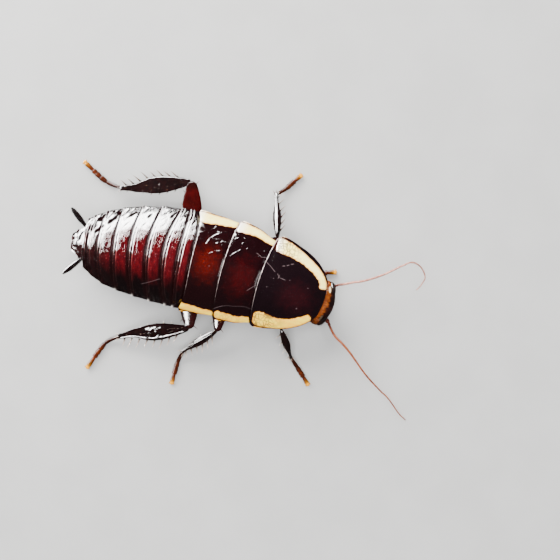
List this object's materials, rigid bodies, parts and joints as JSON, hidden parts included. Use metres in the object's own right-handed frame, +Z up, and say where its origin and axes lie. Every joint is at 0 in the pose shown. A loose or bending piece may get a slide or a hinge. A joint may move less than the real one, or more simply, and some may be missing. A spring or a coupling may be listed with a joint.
{
  "type": "cockroach",
  "caption": "Wingless wood cockroach with cream thorax margins, standing on its spiny legs with head low and antennae spread, as a still life-size model.",
  "frame": {"origin": "on the floor under the middle of the bounding box", "axes": "+X forward towards the head, +Y to the animal's left, +Z up"},
  "size_m": [0.0498, 0.0324, 0.0081],
  "materials": {
    "plate_pronotum": "glossy near-black brown shell with cream side margins",
    "plate_mesonotum": "glossy dark red-brown shell with cream side margins",
    "plate_metanotum": "glossy dark red-brown shell with cream side margins",
    "abdomen": "glossy deep red-brown shell, darker along each hind edge",
    "thorax_underside": "semi-gloss red-brown",
    "head": "glossy amber-brown, dark face",
    "eye": "black, finely faceted",
    "palp": "semi-gloss amber",
    "neck": "soft amber skin",
    "antenna": "fine reddish brown rings",
    "coxa": "glossy red-brown",
    "femur": "glossy red-brown",
    "tibia": "glossy near-black, with paler spines",
    "foot": "orange-red, paler at the claws",
    "cercus": "black"
  },
  "bodies": {
    "root": {"abdomen_segment_1": "abdomen", "abdomen_segment_2": "abdomen", "abdomen_segment_3": "abdomen", "abdomen_segment_4": "abdomen", "abdomen_segment_5": "abdomen", "abdomen_segment_6": "abdomen", "abdomen_segment_7": "abdomen", "abdomen_segment_8": "abdomen", "antenna_left_base": "antenna", "antenna_left_middle": "antenna", "antenna_left_tip": "antenna", "antenna_right_base": "antenna", "antenna_right_middle": "antenna", "antenna_right_tip": "antenna", "cercus_left": "cercus", "cercus_right": "cercus", "coxa_front_left": "coxa", "coxa_front_right": "coxa", "coxa_hind_left": "coxa", "coxa_hind_right": "coxa", "coxa_middle_left": "coxa", "coxa_middle_right": "coxa", "eye_left": "eye", "eye_right": "eye", "femur_front_left": "femur", "femur_front_right": "femur", "femur_hind_left": "femur", "femur_hind_right": "femur", "femur_middle_left": "femur", "femur_middle_right": "femur", "head": "head", "mesonotum": "plate_mesonotum", "mesothorax": "thorax_underside", "metanotum": "plate_metanotum", "metathorax": "thorax_underside", "neck": "neck", "palp_left": "palp", "palp_right": "palp", "pronotum": "plate_pronotum", "prothorax": "thorax_underside", "tail_plate": "abdomen", "tarsus_front_left": "foot", "tarsus_front_right": "foot", "tarsus_hind_left": "foot", "tarsus_hind_right": "foot", "tarsus_middle_left": "foot", "tarsus_middle_right": "foot", "tibia_front_left": "tibia", "tibia_front_right": "tibia", "tibia_hind_left": "tibia", "tibia_hind_right": "tibia", "tibia_middle_left": "tibia", "tibia_middle_right": "tibia"}
  },
  "joints": []
}
